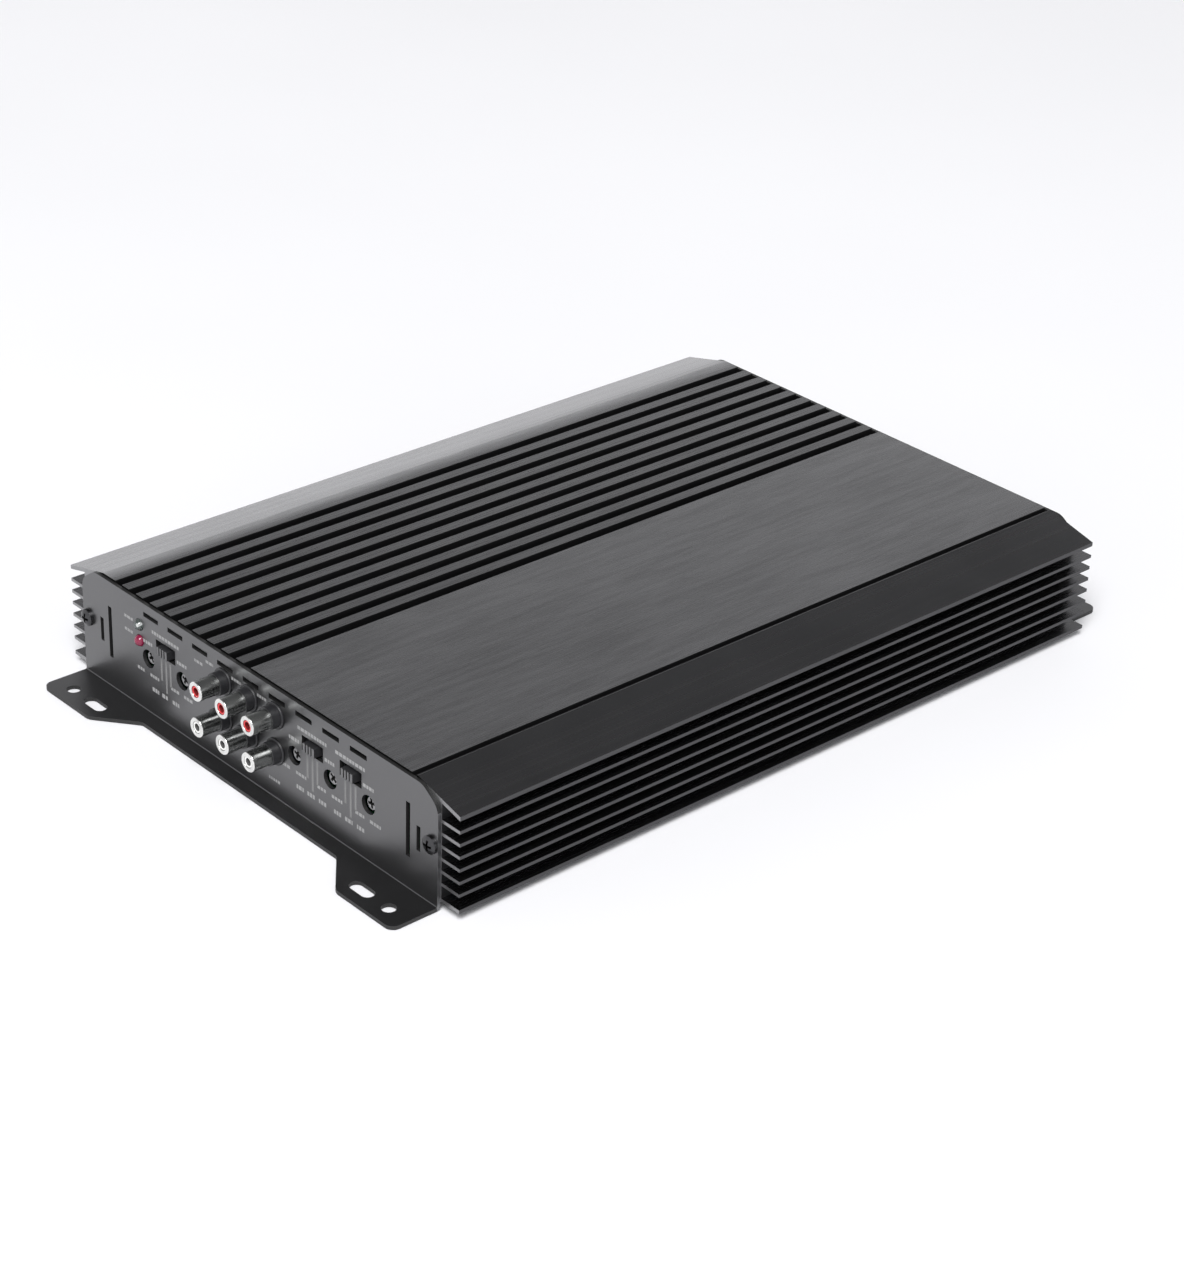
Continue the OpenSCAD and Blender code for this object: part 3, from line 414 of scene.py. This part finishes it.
paint_housing()
paint_plate("front_end_plate")
paint_plate("rear_end_plate")
for name in ("input_capacitors", "rail_capacitors", "signal_capacitors"):
    paint_capacitors(name)
for number in (1, 2, 3):
    paint_knob(f"switch_slider_{number}")
for number in (1, 2, 3, 4, 5):
    paint_shaft(f"adjuster_shaft_{number}")
finish_edges("heatsink_housing", 0.2 * MM, segments=3)
for name, width in {
    "front_end_plate": 0.12, "rear_end_plate": 0.12, "bottom_cover": 0.15,
    "input_socket_block": 0.35, "power_terminal_block": 0.4, "speaker_terminal_block": 0.35,
    "power_terminal_screws": 0.15, "speaker_terminal_screws": 0.12,
    "power_terminal_clamps": 0.15, "speaker_terminal_clamps": 0.12,
    "fuse_holder": 0.4, "fuse_1_body": 0.25, "fuse_2_body": 0.25,
    "switch_housings": 0.1, "switch_slider_1": 0.15, "switch_slider_2": 0.15,
    "switch_slider_3": 0.15, "adjuster_shaft_1": 0.12, "adjuster_shaft_2": 0.12,
    "adjuster_shaft_3": 0.12, "adjuster_shaft_4": 0.12, "adjuster_shaft_5": 0.12,
}.items():
    finish_edges(name, width * MM)


# ---------------------------------------------------------------- mesh tools

def new_piece(name, mesh_bm, material, body="chassis", smooth=True):
    """Turns a bmesh into a piece that rides on a body."""
    bmesh.ops.remove_doubles(mesh_bm, verts=mesh_bm.verts, dist=1e-7)
    bmesh.ops.recalc_face_normals(mesh_bm, faces=mesh_bm.faces)
    mesh = bpy.data.meshes.new(name)
    mesh_bm.to_mesh(mesh)
    mesh_bm.free()
    piece = bpy.data.objects.new(name, mesh)
    mesh.materials.append(material)
    bpy.context.scene.collection.objects.link(piece)
    if smooth:
        mesh.shade_smooth()
        mesh.set_sharp_from_angle(angle=math.radians(40))
    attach(piece, body)
    return piece


def add_turned(bm, profile, place, steps=48, point_at=None):
    """Revolves (radius, distance along -Y) points about an axis through place that runs along Y."""
    rings = []
    for radius, along in profile:
        if radius == 0:
            rings.append([bm.verts.new(place + Vector((0, -along, 0)))])
            continue
        ring = []
        for step in range(steps):
            angle = 2 * math.pi * step / steps
            ring.append(bm.verts.new(
                place + Vector((radius * math.cos(angle), -along, radius * math.sin(angle)))))
        rings.append(ring)
    for first, second in zip(rings, rings[1:]):
        for step in range(steps):
            after = (step + 1) % steps
            if len(first) == 1 and len(second) == 1:
                continue
            if len(first) == 1:
                bm.faces.new((first[0], second[step], second[after]))
            elif len(second) == 1:
                bm.faces.new((first[step], first[after], second[0]))
            else:
                bm.faces.new((first[step], first[after], second[after], second[step]))


def arc(centre, radius, start, end, steps=6):
    """Points along a round corner, with angles in degrees."""
    points = []
    for step in range(steps + 1):
        angle = math.radians(start + (end - start) * step / steps)
        points.append((centre[0] + radius * math.cos(angle), centre[1] + radius * math.sin(angle)))
    return points


def add_slab(bm, x, z, width, height, y_face, proud=0.04 * MM):
    """A thin printed mark on a plate's face: a closed box that is barely proud of it."""
    centre = Matrix.Translation((x, y_face - math.copysign(proud / 4, -y_face), z))
    size = Matrix.Diagonal((width, proud, height, 1))
    bmesh.ops.create_cube(bm, size=1, matrix=centre @ size)


# ---------------------------------------------------------------- phono sockets

def socket_places(node):
    """The front centre of each socket in a CAD node, found from the node's own box."""
    low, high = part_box(node)
    radius = 4.1 * MM
    xs = [low.x + radius, (low.x + high.x) / 2, high.x - radius]
    zs = sorted({round(low.z + radius, 5), round(high.z - radius, 5)})
    return [Vector((x, 0, z)) for x in xs for z in zs]


def socket_shells():
    """Drawn and plated tubes, rolled in at the front, with a narrower root inside the collar."""
    low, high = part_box("input_socket_shells")
    front, seat = -low.y, -high.y
    wall, radius, rim_radius, roll = 0.45 * MM, 4.15 * MM, 2.45 * MM, 0.42 * MM
    root, grip = radius - 0.2 * MM, 9 * MM
    lip, rim_back = 0.2 * MM, front - 0.8 * MM
    profile = [(radius - wall, seat), (root, seat), (root, front - grip)]
    profile += [(radius, front - grip), (radius, front - roll)]
    profile += arc((radius - roll, front - roll), roll, 0, 90)
    profile += arc((rim_radius + lip, front - lip), lip, 90, 180, 4)
    profile += [(rim_radius, rim_back), (radius - wall, rim_back)]
    profile.append(profile[0])
    bm = bmesh.new()
    for place in socket_places("input_socket_shells"):
        add_turned(bm, profile, place, steps=64)
    piece = new_piece("socket_shells", bm, MATERIALS["nickel"])
    piece.data.materials.append(PAINTED_SHADE_BARREL)
    # Painted shade: the barrel behind the rolled rim takes the darker copy of the nickel.
    for face in piece.data.polygons:
        if -face.center.y < front - roll:
            face.material_index = 1
    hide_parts("input_socket_shells")


def socket_insulator(name, node, slot, bore):
    low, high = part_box(node)
    front, seat = -low.y, -high.y
    hole, nose, body = 1.6 * MM, 2.4 * MM, 3.65 * MM
    shoulder = front - 0.55 * MM
    bore_end = front - 1.6 * MM
    back = seat + 2 * MM
    lip = 0.2 * MM
    profile = [(0, seat), (body, seat), (body, shoulder), (nose, shoulder), (nose, front - lip)]
    profile += arc((nose - lip, front - lip), lip, 0, 90, 4)
    profile += arc((hole + lip, front - lip), lip, 90, 180, 4)
    profile += [(hole, bore_end), (hole, back), (0, back)]
    bm = bmesh.new()
    xs = [low.x + body, (low.x + high.x) / 2, high.x - body]
    middle = (low.z + high.z) / 2
    for x in xs:
        add_turned(bm, profile, Vector((x, 0, middle)))
    piece = new_piece(name, bm, MATERIALS[slot])
    piece.data.materials.append(bore)
    piece.data.materials.append(PAINTED_SHADE_DEEP_BORE)
    for face in piece.data.polygons:
        place = face.center
        radius = min(math.hypot(place.x - x, place.z - middle) for x in xs)
        # Painted shade: the bore walls take the darkened plastic, the deep end near black.
        if radius < hole + 0.01 * MM:
            face.material_index = 1 if -place.y > bore_end else 2
    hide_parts(node)


def collar_rings():
    """A moulded ring round the root of each collar, against the plate."""
    face = -PLATE_Y
    collar = 4.8 * MM
    profile = [(collar - 0.3 * MM, face + 0.1 * MM), (collar + 0.9 * MM, face + 0.1 * MM)]
    profile += arc((collar + 0.5 * MM, face + 0.5 * MM), 0.4 * MM, 0, 90, 4)
    profile += [(collar - 0.3 * MM, face + 0.9 * MM), profile[0]]
    bm = bmesh.new()
    for place in socket_places("input_socket_shells"):
        add_turned(bm, profile, place)
    new_piece("socket_collar_rings", bm, MATERIALS["black_plastic"])


socket_shells()
socket_insulator("red_insulators", "input_insulators_red", "red_plastic", PAINTED_SHADE_RED_BORE)
socket_insulator("white_insulators", "input_insulators_white", "white_plastic", PAINTED_SHADE_GREY_BORE)
collar_rings()


# ---------------------------------------------------------------- lamps

def lamp(name, node, slot):
    """A round-nosed lamp on a plain round body."""
    low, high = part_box(node)
    radius = (high.x - low.x) / 2
    front, back = -low.y, -high.y
    centre = Vector(((low.x + high.x) / 2, 0, (low.z + high.z) / 2))
    profile = [(0, back), (radius, back)]
    profile += arc((0, front - radius), radius, 0, 90, 12)[:-1]
    profile.append((0, front))
    bm = bmesh.new()
    add_turned(bm, profile, centre)
    piece = new_piece(name, bm, MATERIALS[slot])
    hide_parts(node)
    return centre, front


def painted_glow_core(centre, front):
    """The bright reflector cup inside the clear lamp, given a faint glow as a painted highlight."""
    face = front - 1.2 * MM
    profile = [(0, face - 3 * MM), (0.4 * MM, face - 3 * MM), (0.85 * MM, face), (0.65 * MM, face)]
    profile += [(0.3 * MM, face - 0.4 * MM), (0, face - 0.4 * MM)]
    s = Shader("painted_glow_core", (0.92, 0.93, 0.95), 0.2, metallic=0.6)
    # Painted highlight: the cup glows faintly though the lamp is not lit.
    s.set("Emission Color", (1, 1, 1, 1))
    s.set("Emission Strength", 0.9)
    s.vary_color(s.remap(s.noise(900), 0.3, 0.7, 0.0, 1.0), (0.8, 0.81, 0.83))
    bm = bmesh.new()
    add_turned(bm, profile, centre, steps=24)
    new_piece("power_lamp_painted_glow", bm, s.material)


painted_glow_core(*lamp("power_lamp", "power_led", "clear_lens"))
lamp("protect_lamp", "protect_led", "red_lens")


# ---------------------------------------------------------------- printed marks

POT_XS = [-68.6, -45.2, 28.7, 51.1, 74.4]
SWITCH_XS = [-56.2, 40.2, 63.7]
dashes = random.Random(7)


def label(bm, x, z, width, height, y_face=PLATE_Y):
    """A row of short plain dashes as wide as a label would be, in millimetres."""
    left = x - width / 2
    while left < x + width / 2 - 0.4:
        dash = min(dashes.uniform(0.9, 2.0), x + width / 2 - left)
        add_slab(bm, (left + dash / 2) * MM, z * MM, dash * MM, height * MM, y_face)
        left += dash + 0.45


def front_marks():
    bm = bmesh.new()
    for x in POT_XS:
        label(bm, x, 33.9, 6.5, 1.5)
        label(bm, x - 5.2, 19.7, 5.5, 1.4)
        label(bm, x + 4.2, 19.7, 6.5, 1.4)
    for x in SWITCH_XS:
        label(bm, x, 40.4, 18.5, 1.5)
        for shift in (-8, -1.2, 6):
            label(bm, x + shift, 13.6, 4.6, 1.8)
    for z in (40.0, 34.0):
        label(bm, -81.8, z, 6, 1.3)
    socket_labels = ((-33.5, 40.3, 5.5), (-26, 43, 5), (-8.4, 43, 6), (8.4, 43, 6), (15.8, 9.5, 7.5))
    for x, z, width in socket_labels:
        label(bm, x, z, width, 1.3)
    new_piece("front_printed_marks", bm, INK, smooth=False)
    bm = bmesh.new()
    head = 30.6
    for x in SWITCH_XS:
        for shift, foot in ((-3.2, 20.5), (0, 15.8), (3, 20)):
            height = (head - foot) * MM
            add_slab(bm, (x + shift) * MM, (head + foot) / 2 * MM, 1.1 * MM, height, PLATE_Y)
    new_piece("switch_position_lines", bm, FAINT_INK, smooth=False)


def rear_marks():
    """Polarity signs over the speaker terminals and dashes over the other fittings."""
    bm = bmesh.new()
    clamp_w, terminals = 7 * MM, 8
    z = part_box("speaker_terminal_block")[1].z + 3.2 * MM
    clamps_low, clamps_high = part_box("speaker_terminal_clamps")
    pitch = (clamps_high.x - clamps_low.x - clamp_w) / (terminals - 1)
    for index in range(terminals):
        x = clamps_low.x + clamp_w / 2 + index * pitch
        add_slab(bm, x, z, 2.6 * MM, 0.6 * MM, -PLATE_Y)
        if index % 2 == 0:
            for side in (-1, 1):
                add_slab(bm, x, z + side * 0.8 * MM, 0.6 * MM, 1.0 * MM, -PLATE_Y)
    label_widths = {"power_terminal_block": 30, "speaker_terminal_block": 44, "fuse_holder": 12}
    for node, width in label_widths.items():
        low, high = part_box(node)
        centre = (low.x + high.x) / 2 / MM
        label(bm, centre, min(high.z / MM + 6.6, 42.5), width, 1.5, -PLATE_Y)
    new_piece("rear_printed_marks", bm, INK, smooth=False)


front_marks()
rear_marks()


# ---------------------------------------------------------------- camera, floor and light

CAMERA_AZIMUTH = math.radians(47.02)
CAMERA_ELEVATION = math.radians(28.67)
CAMERA_ROLL = math.radians(2.18)
CAMERA_AIM = Vector((0.06838, -0.06169, 0.05525))
CAMERA_DISTANCE = 1.18795
CAMERA_LENS = 85.27


def add_camera():
    back = Vector((
        math.sin(CAMERA_AZIMUTH) * math.cos(CAMERA_ELEVATION),
        -math.cos(CAMERA_AZIMUTH) * math.cos(CAMERA_ELEVATION),
        math.sin(CAMERA_ELEVATION)))
    level = Vector((math.cos(CAMERA_AZIMUTH), math.sin(CAMERA_AZIMUTH), 0))
    rise = back.cross(level)
    right = level * math.cos(CAMERA_ROLL) + rise * math.sin(CAMERA_ROLL)
    up = back.cross(right)
    data = bpy.data.cameras.new("camera")
    data.lens = CAMERA_LENS
    camera = bpy.data.objects.new("camera", data)
    turn = Matrix((right, up, back)).transposed().to_4x4()
    camera.matrix_world = Matrix.Translation(CAMERA_AIM + back * CAMERA_DISTANCE) @ turn
    bpy.context.scene.collection.objects.link(camera)
    bpy.context.scene.camera = camera


def add_floor():
    mesh = bpy.data.meshes.new("floor")
    size = 6.0
    mesh.from_pydata(
        [(-size, -size, 0), (size, -size, 0), (size, size, 0), (-size, size, 0)], [], [(0, 1, 2, 3)])
    floor = bpy.data.objects.new("floor", mesh)
    floor.location.z = -0.3 * MM
    s = Shader("floor_paint", (0.86, 0.86, 0.88), 0.7)
    s.vary_color(s.remap(s.noise(3, detail=2), 0.3, 0.7, 0.0, 1.0), (0.84, 0.84, 0.86))
    mesh.materials.append(s.material)
    bpy.context.scene.collection.objects.link(floor)


def add_area(name, place, target, size, power):
    data = bpy.data.lights.new(name, "AREA")
    data.shape = "RECTANGLE"
    data.size, data.size_y = size
    data.energy = power
    light = bpy.data.objects.new(name, data)
    light.location = place
    light.rotation_mode = "QUATERNION"
    light.rotation_quaternion = (Vector(target) - Vector(place)).to_track_quat("-Z", "Y")
    bpy.context.scene.collection.objects.link(light)


def add_world():
    """A soft studio dome: bright near the horizon and darker overhead."""
    world = bpy.data.worlds.new("studio")
    bpy.context.scene.world = world
    world.use_nodes = True
    tree = world.node_tree
    place = tree.nodes.new("ShaderNodeTexCoord")
    split = tree.nodes.new("ShaderNodeSeparateXYZ")
    ramp = tree.nodes.new("ShaderNodeValToRGB")
    tree.links.new(place.outputs["Generated"], split.inputs[0])
    tree.links.new(split.outputs["Z"], ramp.inputs["Fac"])
    tree.links.new(ramp.outputs["Color"], tree.nodes["Background"].inputs["Color"])
    stops = ramp.color_ramp.elements
    stops[0].position, stops[0].color = 0.0, (1.15, 1.15, 1.17, 1)
    stops[1].position, stops[1].color = 1.0, (0.12, 0.12, 0.125, 1)
    levels = {0.15: 1.25, 0.30: 0.95, 0.40: 0.66, 0.50: 0.31, 0.62: 0.18, 0.78: 0.15}
    for position, level in levels.items():
        stop = stops.new(position)
        stop.color = (level, level, level * 1.02, 1)


add_camera()
add_floor()
add_world()
add_area("key_light", (3.0, -3.4, 6.0), (0, -0.1, 0), (3.6, 3.6), 700)
add_area("back_light", (-2.3, 1.75, 0.4), (0, 0, 0.1), (2.4, 0.6), 1.8)
bpy.context.scene.view_settings.view_transform = "Standard"
